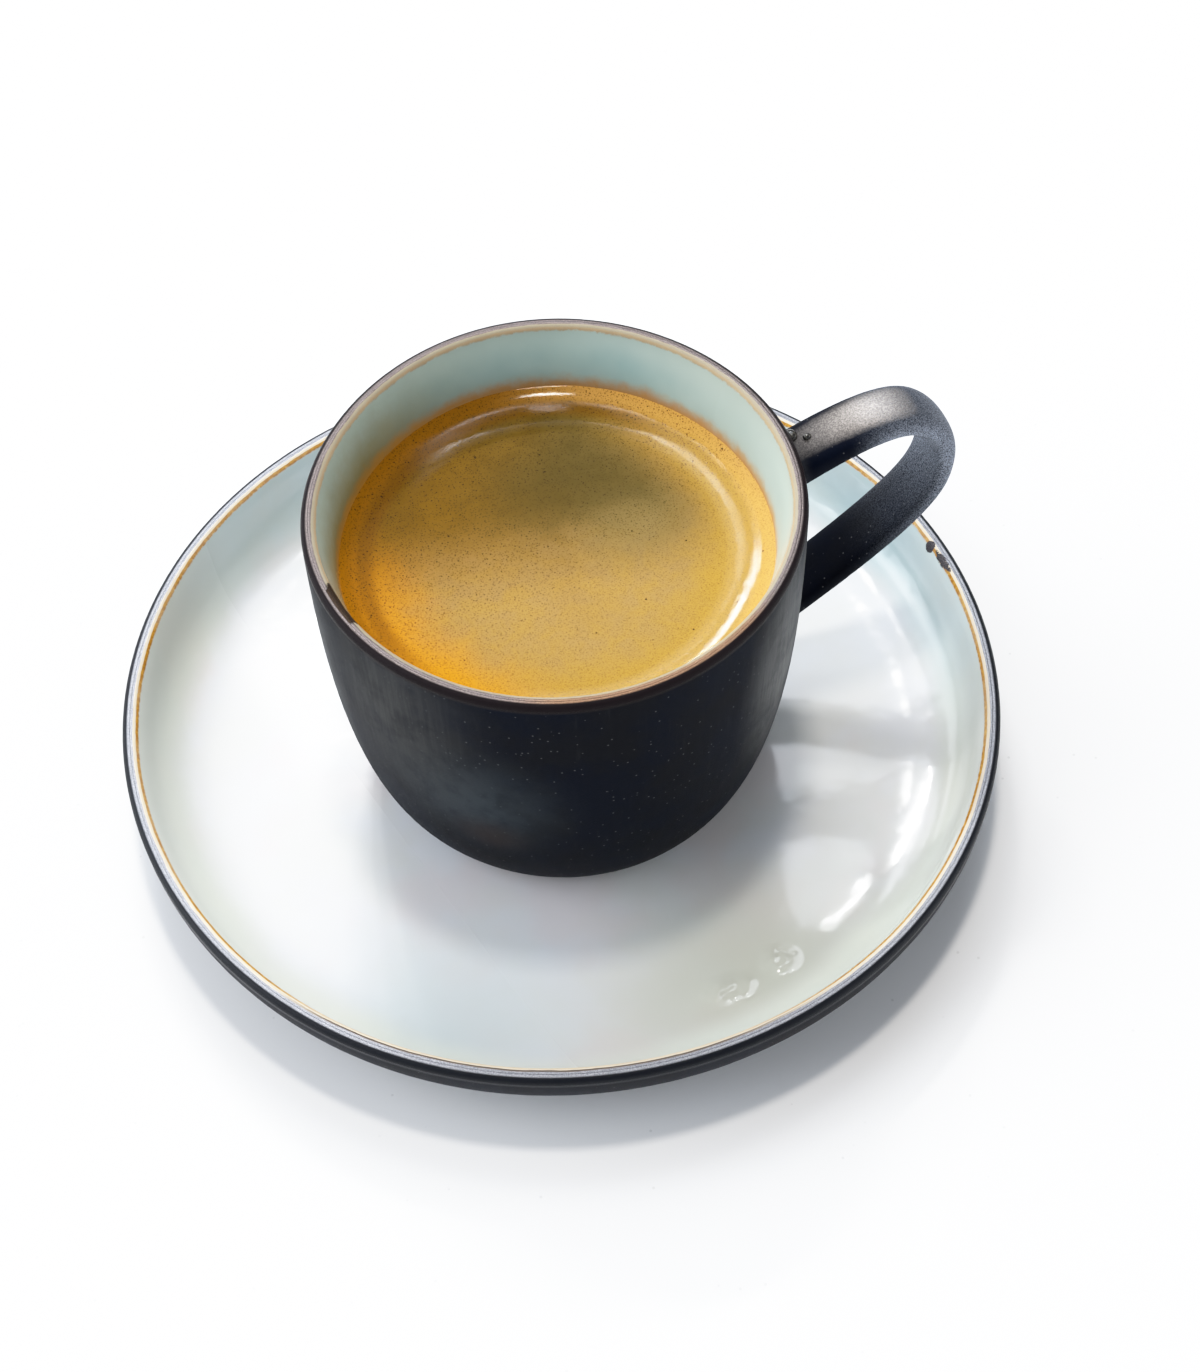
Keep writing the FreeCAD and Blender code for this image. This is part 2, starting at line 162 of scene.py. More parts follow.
class Shader:
    """A procedural material written as calls: values in, a value out.

    Places and sizes are millimetres in the frame's own axes.
    """

    def __init__(self, name):
        self.material = bpy.data.materials.new(name)
        self.material.use_nodes = True
        self.tree = self.material.node_tree
        self.tree.nodes.clear()
        self.output = self.tree.nodes.new("ShaderNodeOutputMaterial")
        place = self.tree.nodes.new("ShaderNodeTexCoord").outputs["Object"]
        self.place = self.add("VectorMath", {0: place, "Scale": 1 / MM}, operation="SCALE")
        parts = self.node("SeparateXYZ", {0: self.place})
        self.x, self.y, self.z = (Value(self, parts.outputs[i]) for i in range(3))
        facing = self.node("SeparateXYZ", {0: self.node("NewGeometry").outputs["Normal"]})
        self.facing_up = Value(self, facing.outputs[2])

    def node(self, kind, inputs=None, **settings):
        """A new node; its inputs go by name or number."""
        node = self.tree.nodes.new("ShaderNode" + kind)
        for key, value in settings.items():
            setattr(node, key, value)
        for key, value in (inputs or {}).items():
            self.feed(node.inputs[key], value)
        return node

    def feed(self, socket, value):
        if isinstance(value, Value):
            value = value.socket
        if isinstance(value, bpy.types.NodeSocket):
            self.tree.links.new(value, socket)
        else:
            socket.default_value = value

    def add(self, kind, inputs=None, out=0, **settings):
        """A new node's output, as a value."""
        return Value(self, self.node(kind, inputs, **settings).outputs[out])

    def math(self, operation, *values, clamp=False):
        return self.add("Math", dict(enumerate(values)), operation=operation, use_clamp=clamp)

    def rise(self, value, low, high):
        return self.add("MapRange", {"Value": value, "From Min": low, "From Max": high},
                        interpolation_type="SMOOTHSTEP")

    def mix(self, share, first, second):
        """Two colours, by share."""
        colours = [c if isinstance(c, Value) else (*c, 1.0) for c in (first, second)]
        return self.add("Mix", {0: share, 6: colours[0], 7: colours[1]}, out=2,
                        data_type="RGBA")

    def scaled(self, stretch=(1, 1, 1), shift=(0, 0, 0)):
        return self.add("Mapping", {"Vector": self.place, "Scale": stretch, "Location": shift})

    def noise(self, size, detail=2.0, rough=0.5, shift=(0, 0, 0), stretch=(1, 1, 1), warp=0.0):
        """Cloudy noise about 0.5, whose lumps are about size across."""
        return self.add("TexNoise", {
            "Vector": self.scaled(stretch, shift), "Scale": 1.0 / size, "Detail": detail,
            "Roughness": rough, "Distortion": warp}, out="Fac")

    def cells(self, size, shift=(0, 0, 0)):
        """Distance to the nearest of scattered points, in sizes, and its colour."""
        node = self.node("TexVoronoi", {
            "Vector": self.scaled(shift=shift), "Scale": 1.0 / size})
        return Value(self, node.outputs["Distance"]), Value(self, node.outputs["Color"])

    def near(self, point, radii):
        """1 at a point, falling to 0 at an ellipsoid of these radii round it."""
        away = self.add("VectorMath", {0: self.place, 1: point}, operation="SUBTRACT")
        share = self.add("VectorMath", {0: away, 1: radii}, operation="DIVIDE")
        length = self.add("VectorMath", {0: share}, out="Value", operation="LENGTH")
        return length.rise(1.0, 0.0)

    def near_ring(self, ring, degrees, radius, height, radii):
        """The same about a place given by its turn from the handle and its radius."""
        x, y = ring.point(radius, radians(degrees))
        return self.near((x, y, height), radii)

    def beyond(self, ring):
        """Distance outside a ring, as if it were round."""
        dx, dy = self.x - ring.x, self.y - ring.y
        angle = self.math("ARCTAN2", dy, dx)
        away = self.math("SQRT", dx * dx + dy * dy)
        swell = 1.0
        for k, a, b in ring.lobes:
            swell = swell + (self.math("COSINE", angle * k) * a
                             + self.math("SINE", angle * k) * b)
        return away / swell - ring.radius

    def bump(self, height, depth, normal=None):
        """Relief of a height from 0 to 1, depth millimetres deep."""
        inputs = {"Height": height, "Distance": depth * MM, "Strength": 1.0}
        if normal:
            inputs["Normal"] = normal
        return self.add("Bump", inputs)

    def finish(self, **sockets):
        shader = self.node("BsdfPrincipled", {
            name.replace("_", " "): value for name, value in sockets.items()})
        self.tree.links.new(shader.outputs[0], self.output.inputs[0])
        return self.material


def colour(*rgb):
    """A display colour, 0 to 255, as the linear colour a shader takes."""
    return tuple((c / 255 / 12.92 if c < 10.3 else ((c / 255 + 0.055) / 1.055) ** 2.4)
                 for c in rgb)


# --------------------------------------------------------------------- glazes
def dark_glaze(m, dust_sheen_share=0.0):
    """The matt charcoal outside: colour, roughness, relief and metal sheen."""
    cloud = m.noise(14, detail=4, rough=0.6)
    grain = m.noise(0.30, detail=3, rough=0.75)
    scuff = m.noise(1.3, detail=4, rough=0.65, stretch=(1, 1, 0.12), shift=(7, 3, 1))
    tone = m.mix(cloud.rise(0.35, 0.65), (0.0012, 0.0028, 0.0085), (0.0040, 0.0045, 0.0070))
    tone = m.mix(scuff.rise(0.60, 0.80) * 0.5, tone, (0.013, 0.014, 0.016))
    # Where it faces up the glaze lies thin and has a dusty metal sheen; its paler colour there is
    # partly that dust and partly a painted sheen of the light from above.
    dust_sheen_up = m.facing_up.rise(0.88, 1.03) * dust_sheen_share
    dust_and_sheen = m.mix(grain.rise(0.38, 0.66), (0.16, 0.145, 0.132), (0.35, 0.318, 0.290))
    tone = m.mix(dust_sheen_up, tone, dust_and_sheen)
    speck, _ = m.cells(1.5, shift=(3, 5, 2))
    tone = m.mix(speck.rise(0.13, 0.07) * 0.35, tone, (0.16, 0.16, 0.16))
    rough = 0.52 + 0.14 * cloud - 0.08 * scuff - 0.10 * dust_sheen_up
    relief = grain * 0.6 + scuff * 0.4
    return tone, rough, relief, dust_sheen_up * 0.8


def lip_tone(m, grain, dark, pale):
    """Thin grainy glaze with a metal sheen on a rolled lip."""
    return m.mix(grain.rise(0.34, 0.68), dark, pale)


def vessel_relief(m, dark_relief, grain, band, bare, inside, glossy):
    """A grainy outside and lip, and a step where the inner glaze is missing."""
    relief = m.bump(dark_relief * (1.0 - glossy), 0.05)
    relief = m.bump(grain * band, 0.06, relief)
    return m.bump((1.0 - bare) * inside, 0.12, relief)


# Paler streaked patches at the cup's sides: partly rubbed glaze, partly painted grazing reflection.
RUBBED_AND_REFLECTED = (  # degrees from the handle, height above the foot, reach, paleness
    (-12, 36, (14, 21, 54), 0.20),
    (-43, 42, (17, 17, 34), 0.17),
    (-152, 48, (24, 22, 36), 0.045),
    (172, 36, (11, 17, 46), 0.14),
)


def cup_outside(m, grain, wobble):
    """The dark glaze with its worn and rubbed places, partly painted sheen and reflection; returns
    what dark_glaze does.
    """
    on_handle = (m.x - CUP_LIP.x).rise(38.0, 44.0)
    dark, rough, relief, metal = dark_glaze(
        m, dust_sheen_share=on_handle * m.z.rise(CUP_TOP - 26, CUP_TOP - 12))

    # The handle's bend is worn to a bluish grain, which also stands in for a painted bluish sheen;
    # less so where it faces up.
    worn_and_sheen = (m.x - CUP_LIP.x).rise(50.0, 60.0) * m.z.rise(CUP_FOOT + 24, CUP_FOOT + 50)
    worn_and_sheen = worn_and_sheen * (1.0 - 0.8 * m.facing_up)
    dark = m.mix(worn_and_sheen * grain.rise(0.30, 0.72), dark, (0.42, 0.46, 0.54))

    # A faint line left by turning, just above the foot.
    foot_line = m.z - CUP_FOOT - 2.6 + wobble * 0.8
    turned = foot_line.rise(-0.35, 0.0) * foot_line.rise(0.35, 0.0)
    dark = m.mix(turned * 0.35, dark, (0.030, 0.031, 0.034))

    # A bluish-grey patch at the front left, painted reflection of the light from that side, with
    # some rust below it.
    cloudy = m.noise(6.0, detail=3, rough=0.6, shift=(3, 8, 2)).rise(0.35, 0.6)
    bluish_reflection = m.near_ring(CUP_LIP, -131, CUP_LIP.radius - 1.5, CUP_FOOT + 32, (21, 20, 20))
    dark = m.mix(bluish_reflection * (0.65 + 0.35 * cloudy), dark, (0.030, 0.037, 0.044))
    rust = m.near_ring(CUP_LIP, -128, CUP_LIP.radius - 3.0, CUP_FOOT + 22, (9, 9, 8))
    dark = m.mix(rust * 0.4, dark, (0.046, 0.028, 0.019))

    streak = m.noise(0.7, detail=3, rough=0.7, stretch=(1, 1, 0.05), shift=(2, 2, 9))
    scoured = 0.45 + 0.25 * streak.rise(0.4, 0.7) + 0.3 * cloudy
    # Paler streaks at the sides: partly rubbed glaze, partly painted grazing reflection.
    for degrees, height, reach, pale in RUBBED_AND_REFLECTED:
        rubbed_and_reflected = m.near_ring(CUP_LIP, degrees, CUP_LIP.radius, CUP_FOOT + height, reach)
        dark = m.mix(rubbed_and_reflected * (1.0 - on_handle) * scoured, dark, (pale, pale, pale * 0.98))
    return dark, rough, relief, metal


def stained_celadon(m, depth):
    """The cup's pale inside, with the colour that the drink has left above it; on the side away
    from the handle that colour also carries painted shade and a painted reflection of the crema.
    """
    pool = m.noise(9, detail=2, shift=(5, 5, 5))
    celadon = m.mix(pool.rise(0.3, 0.7), colour(148, 175, 174), colour(160, 184, 181))
    celadon = m.mix(depth.rise(7.0, 1.0) * 0.5, celadon, colour(184, 198, 190))
    celadon = m.mix((m.x - CUP_LIP.x).rise(20.0, 40.0) * 0.6, celadon, colour(170, 178, 164))

    above = m.z - CREMA_LEVEL + (m.noise(3.5, detail=4, rough=0.65, shift=(0, 7, 7)) - 0.5) * 3.2
    stain_and_shade_side = (CUP_LIP.x - m.x).rise(-6.0, 26.0)  # the stain, painted shade and painted crema reflection are on that side
    # Dull olive up to 17 mm above the drink: coffee stain, with painted shade and painted
    # reflection of the crema.
    celadon = m.mix(above.rise(17.0, 2.0) * stain_and_shade_side * 0.9, celadon, colour(120, 102, 38))
    return m.mix(above.rise(4.8, 1.4) * 0.85, celadon, colour(178, 124, 46))


def cup_material():
    m = Shader("cup_glaze")
    out = m.beyond(CUP_LIP)
    depth = CUP_TOP - m.z
    inside = (out + depth * 0.12).rise(0.06, -0.06)
    inside = inside * depth.rise(CUP_GLAZED_DEPTH + 0.2, CUP_GLAZED_DEPTH - 0.2)

    grain = m.noise(0.22, detail=3, rough=0.75)
    wobble = m.noise(5.0, detail=3, rough=0.6, shift=(11, 2, 5)) - 0.5
    fray = m.noise(0.9, detail=3, rough=0.7, shift=(1, 9, 4)) - 0.5
    dark, dark_rough, dark_relief, dark_metal = cup_outside(m, grain, wobble)

    # Bands of the lip, by the way inward and down from its middle.
    path = depth * 0.9 - out + wobble * 0.5
    cream = path.rise(0.45, 0.65)
    gold = (path + fray * 0.5).rise(1.15, 1.35)
    glaze = (path + fray * 1.0).rise(1.75, 2.3)
    thin = out.rise(0.55, 0.25)
    grey = lip_tone(m, grain, (0.070, 0.058, 0.058), (0.165, 0.140, 0.132))
    brown = lip_tone(m, grain, (0.110, 0.066, 0.040), (0.21, 0.128, 0.082))
    front = m.near_ring(CUP_LIP, -84, CUP_LIP.radius, CUP_TOP, (34, 16, 8)).rise(0.0, 0.5)
    lip = m.mix(thin, (0.010, 0.007, 0.008), m.mix(front, grey, brown))
    inner = m.mix(cream * 0.7, lip, colour(176, 164, 138))
    inner = m.mix(gold * 0.3, inner, colour(188, 150, 98))
    inner = m.mix(glaze, inner, stained_celadon(m, depth))

    # Where the pale glaze missed the lip's inner side, the brown body shows.
    bare = m.near_ring(CUP_LIP, 191, CUP_LIP.radius - 1.5, CUP_TOP - 1.0, (4.2, 8.6, 4.6))
    bare = (bare + fray * 0.35 + wobble * 0.3).rise(0.30, 0.36) * inside
    body = m.mix(grain.rise(0.4, 0.7), (0.018, 0.012, 0.009), (0.05, 0.032, 0.02))
    inner = m.mix(bare, inner, body)
    amber = m.near_ring(CUP_LIP, 189, CUP_LIP.radius - 1.9, CUP_TOP - 1.9, (1.1, 1.2, 0.8))
    inner = m.mix((amber + fray * 0.6).rise(0.25, 0.4), inner, colour(196, 120, 30))

    near_lip = depth.rise(1.9, 1.2) * out.rise(3.4, 2.4)
    outer = m.mix(near_lip, dark, lip)
    amber = m.near_ring(CUP_LIP, -77, CUP_LIP.radius + 0.6, CUP_TOP - 0.6, (0.9, 0.6, 0.6))
    outer = m.mix((amber + fray * 0.5).rise(0.3, 0.45), outer, colour(190, 120, 50))
    tone = m.mix(inside, outer, inner)

    glossy = inside * glaze * (1.0 - bare)
    band = near_lip * (1.0 - glossy)
    rough = dark_rough * (1.0 - glossy) + 0.10 * glossy
    rough = rough * (1.0 - band * 0.45)
    metal = (dark_metal + band * thin * 0.75) * (1.0 - inside * cream)
    relief = vessel_relief(m, dark_relief, grain, band, bare, inside, glossy)
    waves = m.noise(6.5, detail=1, shift=(2, 8, 1))
    relief = m.bump(waves * glossy, 0.10, relief)
    return m.finish(Base_Color=tone, Roughness=rough, Metallic=metal, Normal=relief,
                    IOR=1.5, Specular_IOR_Level=0.035, Sheen_Weight=0.01, Sheen_Roughness=0.4)


def saucer_floor(m, out):
    """The saucer's pale inside: clouds on the floor, a greyer front with painted shade of the cup,
    blue-green pooled at the wall.
    """
    low = CUP_FOOT + 0.5
    cloud = m.noise(17, detail=3, rough=0.55, shift=(4, 4, 0))
    blush = m.noise(21, detail=2, rough=0.5, shift=(40, 14, 0))
    floor = m.mix(cloud.rise(0.35, 0.65), colour(209, 211, 215), colour(207, 208, 206))
    floor = m.mix(blush.rise(0.50, 0.68) * 0.6, floor, colour(209, 200, 199))
    # Greyer and greener in front of the cup: a glaze tint, and painted shade of the cup.
    front = m.near_ring(SAUCER_LIP, -78, 62.0, low, (46, 29, 14))
    floor = m.mix(front * 0.85, floor, colour(178, 180, 165))
    front_left = m.near_ring(SAUCER_LIP, -128, 66.0, low, (34, 34, 14))
    floor = m.mix(front_left * 0.8, floor, colour(178, 192, 196))

    reach = m.noise(24, detail=2, shift=(9, 60, 0)) * 7.0
    pooled = (out + reach).rise(-8.0, -1.5)
    cool = (m.x * 0.55 + m.y * 0.83).rise(0.0, 35.0)  # towards the back right
    celadon = m.mix(cool, colour(212, 216, 203), colour(200, 219, 219))
    celadon = m.mix(cloud.rise(0.4, 0.7) * 0.5, celadon, colour(206, 214, 204))
    deep = m.near_ring(SAUCER_LIP, 14, 70.0, CUP_FOOT + 6.5, (26, 30, 16))
    celadon = m.mix(deep * 0.8, celadon, colour(148, 178, 185))
    floor = m.mix(deep * 0.35, floor, colour(182, 194, 196))
    return m.mix(pooled * 0.85, floor, celadon)


RIPPLE_RADIUS = 61.5
RIPPLES = ((-84, (8.0, 4.0, 5)), (-74, (4.5, 4.0, 5)))  # degrees from the handle, reach


def saucer_material():
    m = Shader("saucer_glaze")
    out = m.beyond(SAUCER_LIP)
    depth = SAUCER_TOP - m.z
    inside = (out + depth * 0.2 + depth * depth * 0.03).rise(0.06, -0.06)
    inside = inside * depth.rise(SAUCER_GLAZED_DEPTH + 0.1, SAUCER_GLAZED_DEPTH - 0.1)

    dark, dark_rough, dark_relief, dark_metal = dark_glaze(m)
    grain = m.noise(0.22, detail=3, rough=0.75)
    wobble = m.noise(8.0, detail=3, rough=0.6, shift=(11, 2, 5)) - 0.5
    fray = m.noise(0.9, detail=3, rough=0.7, shift=(1, 9, 4)) - 0.5

    # Bands of the lip, by the way inward and down from its middle.
    path = depth * 0.9 - out + wobble * 0.45
    lip_radius = SAUCER_LIP.radius
    front = m.near_ring(SAUCER_LIP, -118, lip_radius, SAUCER_TOP, (74, 40, 20)).rise(0.0, 0.5)
    shade = path.rise(0.34, 0.50) * path.rise(0.92, 0.74) * front
    cream = path.rise(0.38, 0.50)
    gold = (path + fray * 0.3).rise(1.00, 1.15) * path.rise(2.30, 1.80)
    glaze = (path + fray * 1.3).rise(1.75, 2.3)
    rust = m.noise(16, detail=3, rough=0.6, shift=(70, 3, 8)).rise(0.36, 0.60)
    thin = out.rise(0.72, 0.40)
    grey = lip_tone(m, grain, (0.13, 0.135, 0.15), (0.27, 0.275, 0.30))
    lip = m.mix(thin, (0.004, 0.005, 0.008), grey)
    inner = m.mix(cream, lip, colour(222, 208, 184))
    gilt = m.mix(fray.rise(-0.2, 0.2), colour(150, 98, 22), colour(196, 146, 56))
    inner = m.mix(gold * (0.75 + 0.25 * rust) * (1.0 - front * 0.7), inner, gilt)
    inner = m.mix(glaze, inner, saucer_floor(m, out))
    inner = m.mix(shade * 0.9, inner, (0.040, 0.026, 0.026))

    # Two chips behind the handle: a round one, and a chain of small ones.
    blob = m.near_ring(SAUCER_LIP, 4.0, lip_radius - 1.3, SAUCER_TOP - 0.6, (1.5, 1.7, 2.0))
    chain = m.near_ring(SAUCER_LIP, 0.8, lip_radius - 0.9, SAUCER_TOP - 0.5, (1.3, 5.2, 2.0))
    bare = (blob + fray * 0.5).rise(0.25, 0.35) + (chain + fray * 1.3).rise(0.46, 0.56)
    bare = bare.clamp() * inside
    body = m.mix(grain.rise(0.4, 0.7), (0.03, 0.026, 0.03), (0.09, 0.08, 0.085))
    inner = m.mix(bare, inner, body)

    near_lip = depth.rise(2.0, 1.3)
    tone = m.mix(inside, m.mix(near_lip, dark, lip), inner)

    glossy = inside * glaze * (1.0 - bare)
    band = near_lip * (1.0 - glossy)
    soft = (m.x * 0.9 + m.y * 0.2).rise(-20.0, -45.0)  # mirrors less on the left
    rough = dark_rough * (1.0 - glossy) + (0.11 + 0.30 * soft) * glossy
    rough = rough * (1.0 - band * 0.45)
    metal = (dark_metal + band * thin * 0.75) * (1.0 - inside * cream)
    relief = vessel_relief(m, dark_relief, grain, band, bare, inside, glossy)
    waves = m.noise(9.0, detail=2, rough=0.4, shift=(2, 8, 1))
    relief = m.bump(waves * glossy, 0.16, relief)
    ripples = 0.0
    for degrees, reach in RIPPLES:
        ripples = m.near_ring(SAUCER_LIP, degrees, RIPPLE_RADIUS, SAUCER_FLOOR, reach) + ripples
    relief = m.bump(m.noise(3.4, detail=1, shift=(6, 2, 0)) * ripples, 1.05, relief)
    return m.finish(Base_Color=tone, Roughness=rough, Metallic=metal, Normal=relief,
                    IOR=1.6, Specular_IOR_Level=0.10 + glossy * 0.40)


def coffee_material():
    """Nearly black; it is hidden under the crema."""
    m = Shader("black_coffee")
    cloud = m.noise(12, detail=3)
    tone = m.mix(cloud.rise(0.3, 0.7), (0.010, 0.004, 0.002), (0.022, 0.009, 0.004))
    return m.finish(Base_Color=tone, Roughness=0.08, IOR=1.34)


# --------------------------------------------------------------------- pieces
def piece(name, points, faces, material):
    """A smooth mesh that rides on the part's one body; points in millimetres."""
    mesh = bpy.data.meshes.new(name)
    mesh.from_pydata([Vector(p) * MM for p in points], [], faces)
    mesh.polygons.foreach_set("use_smooth", [True] * len(mesh.polygons))
    mesh.materials.append(material)
    made = bpy.data.objects.new(name, mesh)
    bpy.context.scene.collection.objects.link(made)
    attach(made, "root")
    return made


def dress(node, material):
    """Gives a frame node its finish."""
    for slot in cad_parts[node].material_slots:
        slot.material = material


# ---------------------------------------------------------------------- crema
MENISCUS_RISE = 1.5      # how far the drink climbs the wall
MENISCUS_LENGTH = 2.3    # distance over which the climb falls to a third
INTO_WALL = 0.35         # the piece reaches this far into the wall
CREMA_RINGS = 120
CREMA_CROWDING = 0.85    # below 1 the rings lie closer together towards the wall
CREMA_SEGMENTS = 400


def crema_height(x, y, from_wall):
    """Height of the surface above its flat level: the climb at the wall, slow waves, froth."""
    climb = MENISCUS_RISE * np.exp(-from_wall / MENISCUS_LENGTH)
    swell = noise.noise(Vector((x, y, 0)) * 0.09) * 0.04
    froth = noise.noise(Vector((x, y, 5)) * 0.8) * 0.008
    return climb + (swell + froth) * min(1.0, from_wall / 3.0)


def crema_piece():
    """The drink's top as a closed disc that climbs the wall all round."""
    edge = CREMA.radius + INTO_WALL
    low = level("crema", top=False)
    points, faces = [], []
    for i in range(CREMA_RINGS + 1):
        radius = edge * (i / CREMA_RINGS) ** CREMA_CROWDING
        for j in range(CREMA_SEGMENTS):
            x, y = CREMA.point(radius, 2 * pi * j / CREMA_SEGMENTS)
            rise = crema_height(x, y, max(0.0, CREMA.radius - radius))
            points.append((x, y, CREMA_LEVEL + rise))
            if i == 0:
                break  # the innermost ring is one point
    middle_below = len(points)
    points.append((CREMA.x, CREMA.y, low))
    for j in range(CREMA_SEGMENTS):
        points.append((*CREMA.point(edge, 2 * pi * j / CREMA_SEGMENTS), low))

    def at(i, j):
        return 0 if i == 0 else 1 + (i - 1) * CREMA_SEGMENTS + j % CREMA_SEGMENTS

    for j in range(CREMA_SEGMENTS):
        faces.append((0, at(1, j), at(1, j + 1)))
        for i in range(1, CREMA_RINGS):
            faces.append((at(i, j), at(i + 1, j), at(i + 1, j + 1), at(i, j + 1)))
        below = middle_below + 1 + j
        beside = middle_below + 1 + (j + 1) % CREMA_SEGMENTS
        faces.append((at(CREMA_RINGS, j), below, beside, at(CREMA_RINGS, j + 1)))
        faces.append((middle_below, beside, below))
    return piece("crema_surface", points, faces, crema_material())


def crema_material():
    """Golden foam, thick towards the viewer and thin beyond the middle, where the far wall's shade
    is painted in.
    """
    m = Shader("crema_foam")
    from_wall = -m.beyond(CREMA)
    cx, cy = CREMA.x, CREMA.y
    z = CREMA_LEVEL

    cloud = m.noise(9, detail=3, rough=0.5, warp=0.4)
    wisp = m.noise(3.6, detail=3, rough=0.55, shift=(3, 1, 0), warp=0.5)
    along = m.x - cx
    away = m.y - cy

    # Thick foam: beige in the middle, golden at the wall, orange away from the handle.
    beige = m.mix(wisp.rise(0.25, 0.75), colour(168, 131, 64), colour(160, 127, 74))
    swirl = m.near((cx + 1, cy - 8, z), (9, 15, 9)) * 0.4
    swirl = swirl + m.near((cx + 4, cy + 3, z), (10, 6, 9)) * 0.5
    beige = m.mix(swirl * cloud.rise(0.3, 0.6), beige, colour(148, 114, 58))
    golden = m.mix(along.rise(-6.0, -28.0), colour(174, 132, 46), colour(218, 142, 6))
    thick = m.mix((from_wall + (cloud - 0.5) * 8.0).rise(17.0, 3.5), beige, golden)

    # Thin foam beyond the middle, darkened with painted shade of the far wall: ochre away from the
    # handle, grey-olive towards it.
    olive = m.mix(wisp.rise(0.25, 0.75), colour(82, 67, 24), colour(94, 77, 33))
    ochre = m.mix(wisp.rise(0.25, 0.75), colour(108, 76, 2), colour(118, 84, 6))
    thin = m.mix((along - away * 0.3 + (cloud - 0.5) * 12.0).rise(-22.0, 10.0), ochre, olive)
    # edge is the distance beyond a slanting line; by the handle the foam stays thick.
    edge = away + along * 0.22 - 0.5 + (cloud - 0.5) * 6.0
    handle_side = 1.0 - along.rise(8.0, 30.0) * from_wall.rise(18.0, 4.0)
    thin_and_shaded = edge.rise(-12.0, 12.0) * handle_side
    foam = m.mix(thin_and_shaded, thick, thin)
    # The darkest place beyond the middle is painted shade of the far wall.
    darkest_shade = m.near((cx + 4, cy + 15, z), (21, 12, 9))
    foam = m.mix(darkest_shade * 0.6, foam, colour(72, 59, 18))
    foam = m.mix(m.near((cx + 15, cy, z), (16, 12, 9)) * 0.4, foam, colour(130, 114, 70))

    # The ring at the wall: a brown line of painted shade at the foot of the climb, then paler foam
    # that clings to the glaze.
    line = from_wall.rise(1.8, 3.2) * from_wall.rise(6.5, 4.2)
    shaded_side = (edge - along * 0.9).rise(-4.0, 18.0)
    foam = m.mix(line * (0.10 + shaded_side * 0.6), foam, colour(118, 74, 2))
    cling = (from_wall + (wisp - 0.5) * 1.6).rise(3.8, 1.6)
    ring = m.mix((away * 0.7 - along).rise(2.0, 28.0), colour(204, 152, 76), colour(142, 90, 6))
    foam = m.mix(cling * 0.85, foam, ring)

    # Pin holes in three sizes, closest together in the thin foam.
    dense = (edge - along * 0.5).rise(-20.0, 14.0)
    finest, _ = m.cells(0.42, shift=(8, 3, 0))
    fine, _ = m.cells(0.80)
    coarse, tint = m.cells(2.6, shift=(4, 2, 0))
    lucky = m.add("SeparateColor", {0: tint})
    tiny = finest.rise(0.42, 0.16) * (0.35 + 0.45 * dense)
    pores = fine.rise(0.21, 0.11) * (0.40 + 0.60 * dense) * wisp.rise(0.18, 0.45)
    holes = coarse.rise(0.075, 0.050) * lucky.rise(0.40, 0.52)
    foam = m.mix(tiny * 0.70, foam, colour(56, 38, 5))
    foam = m.mix(pores * 0.90, foam, colour(42, 28, 5))
    foam = m.mix(holes * 0.9, foam, colour(34, 24, 8))
    speckle = m.noise(0.28, detail=2, rough=0.8)
    foam = m.mix(speckle.rise(0.42, 0.75) * 0.34, foam, colour(86, 62, 16))

    wet = from_wall.rise(9.0, 6.0) * along.rise(-20.0, -8.0)
    rough = 0.42 - 0.37 * wet + 0.02 * wisp
    relief = m.bump(speckle * (1.0 - wet * 0.85), 0.05)
    relief = m.bump(1.0 - holes, 0.10, relief)
    return m.finish(Base_Color=foam, Roughness=rough, Normal=relief,
                    IOR=1.34, Specular_IOR_Level=0.06 + wet * 0.18)


# --------------------------------------------------------------- drops of glaze
def drop_material():
    """Dark glaze that pooled thickly and set glossy."""
    m = Shader("run_glaze")
    cloud = m.noise(0.5, detail=3)
    tone = m.mix(cloud.rise(0.35, 0.65), (0.010, 0.010, 0.012), (0.060, 0.055, 0.045))
    return m.finish(Base_Color=tone, Roughness=0.10, IOR=1.5)


def glaze_drop(name, degrees, out, below, radii, material, rings=12, around=20):
    """A set drop, half sunk in the handle, out beyond the lip's ring and below its top."""
    centre = (*CUP_LIP.point(CUP_LIP.radius + out, radians(degrees)), CUP_TOP - below)
    shell = [(sin(pi * i / rings) * cos(2 * pi * j / around),
              sin(pi * i / rings) * sin(2 * pi * j / around), cos(pi * i / rings))
             for i in range(1, rings) for j in range(around)]
    points = [tuple(c + r * p for c, r, p in zip(centre, radii, point))
              for point in [(0, 0, 1), *shell, (0, 0, -1)]]
    last = len(points) - 1
    faces = []
    for j in range(around):
        beside = (j + 1) % around
        faces.append((0, 1 + j, 1 + beside))
        for i in range(rings - 2):
            row = 1 + i * around
            faces.append((row + j, row + around + j, row + around + beside, row + beside))
        faces.append((last, last - around + beside, last - around + j))
    return piece(name, points, faces, material)


# ------------------------------------------------------------------ the object
dress("cup", cup_material())
dress("saucer", saucer_material())
dress("coffee", coffee_material())
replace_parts(crema_piece(), "crema")
run_glaze = drop_material()
glaze_drop("glaze_run", 3.0, 3.0, 4.4, (1.0, 1.3, 0.8), run_glaze)
glaze_drop("glaze_blister", 0.4, 4.9, 3.5, (0.75, 0.6, 0.5), run_glaze)


